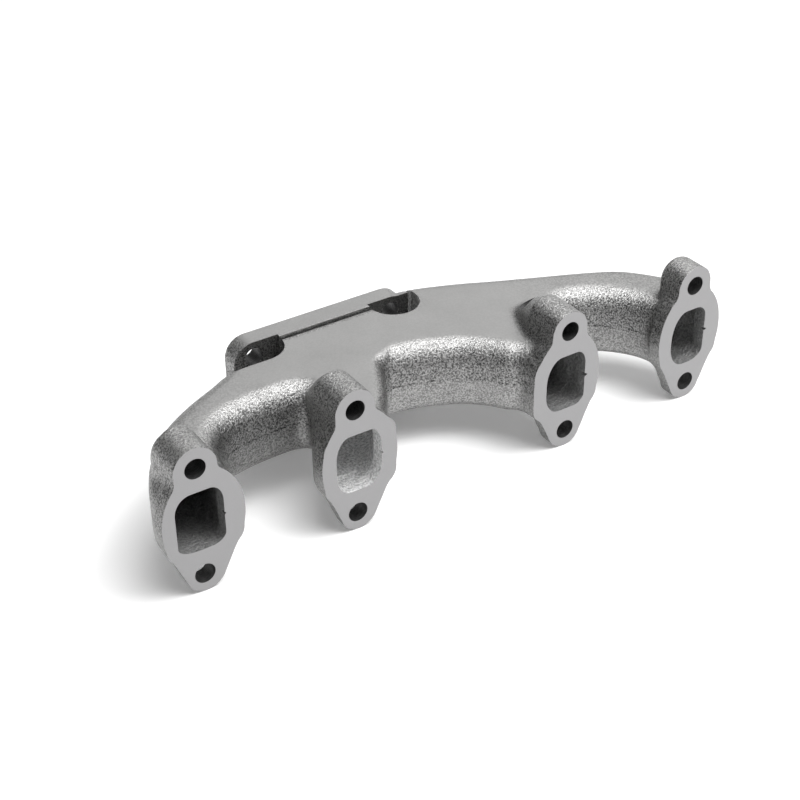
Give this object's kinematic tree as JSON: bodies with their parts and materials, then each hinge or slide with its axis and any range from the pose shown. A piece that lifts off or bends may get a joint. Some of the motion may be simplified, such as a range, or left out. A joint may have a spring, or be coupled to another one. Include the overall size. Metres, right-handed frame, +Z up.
{
  "type": "exhaust manifold",
  "caption": "Cast-iron log exhaust manifold: two-stud port flanges on curved runners that join in one collector with a rectangular turbocharger flange on its back.",
  "frame": {"origin": "middle of the box's underside, level with the tips of the port flanges", "axes": "+X along the row of ports from port 1 to port 4, +Y away from the cylinder head, +Z up"},
  "size_m": [0.3524, 0.11, 0.0853],
  "materials": {
    "cast_iron_skin": "rough sand-cast skin",
    "cast_iron_smooth": "smoother cast skin",
    "machined_iron": "machined flat, faint tool marks"
  },
  "bodies": {
    "root": {"collector": "cast_iron_skin", "turbo_neck": "cast_iron_smooth", "turbo_flange": "machined_iron", "runner_1": "cast_iron_skin", "port_flange_1": "machined_iron", "stud_boss_1": "cast_iron_skin", "runner_2": "cast_iron_skin", "port_flange_2": "machined_iron", "stud_boss_2": "cast_iron_skin", "runner_3": "cast_iron_skin", "port_flange_3": "machined_iron", "stud_boss_3": "cast_iron_skin", "runner_4": "cast_iron_skin", "port_flange_4": "machined_iron", "stud_boss_4": "cast_iron_skin"}
  },
  "joints": []
}
